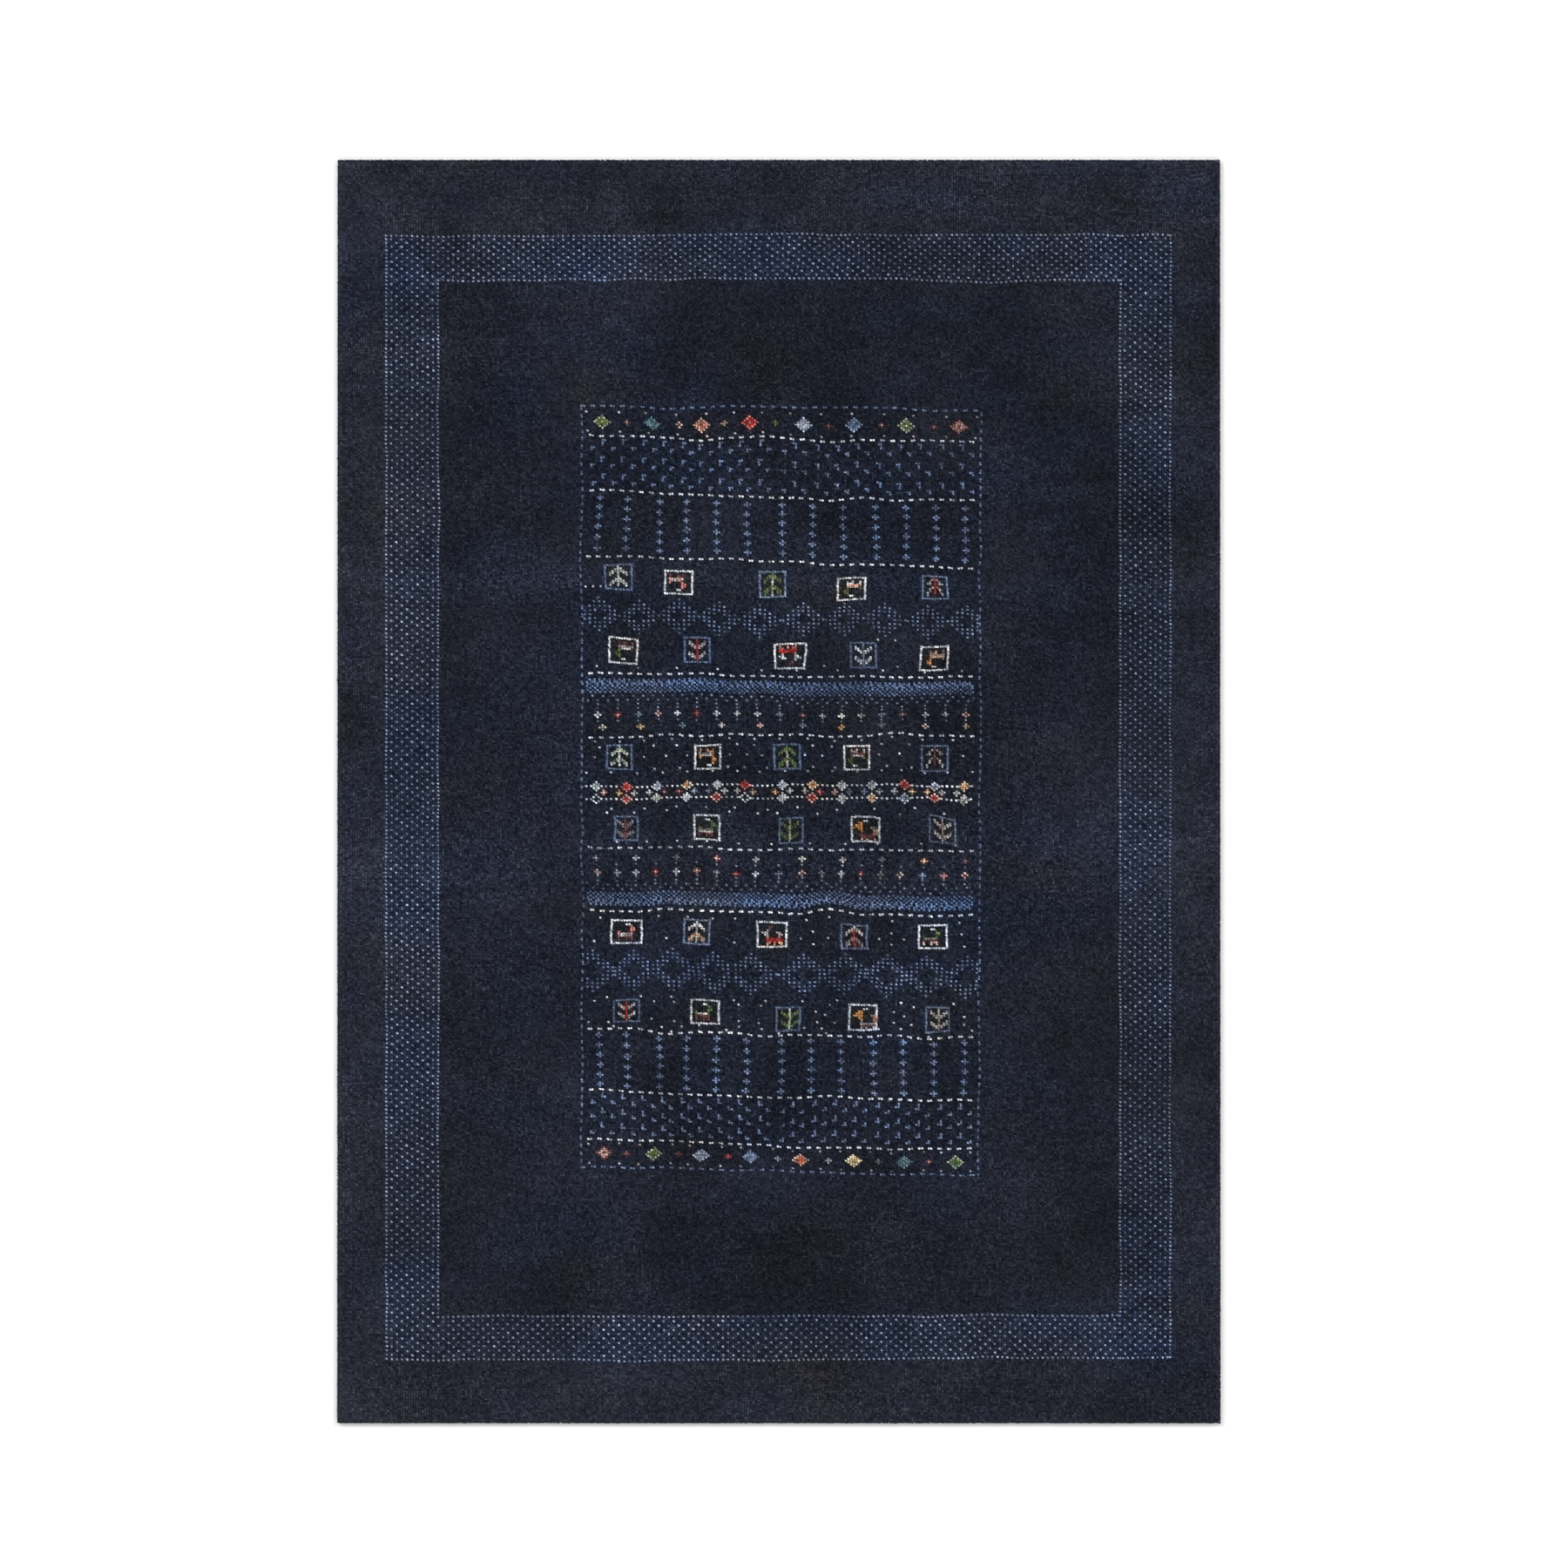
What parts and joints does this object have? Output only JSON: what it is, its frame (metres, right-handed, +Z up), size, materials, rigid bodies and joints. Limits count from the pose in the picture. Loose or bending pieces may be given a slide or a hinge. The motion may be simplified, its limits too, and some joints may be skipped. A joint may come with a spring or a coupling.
{
  "type": "hand-knotted rug",
  "caption": "Flat rectangular hand-knotted wool rug in dark navy with a dotted lattice border and a narrow central panel of small tribal motifs, lying pile side up.",
  "frame": {"origin": "centre of the flat underside, on the floor", "axes": "+Z up out of the pile, +Y along the length towards the upper end of the design, +X across the width towards the design's right"},
  "size_m": [1.4013, 2.002, 0.0114],
  "materials": {
    "navy_wool": "matt clipped wool pile, dark navy with small knots in white, blue, red, orange and olive"
  },
  "bodies": {
    "root": {"rug": "navy_wool"}
  },
  "joints": []
}
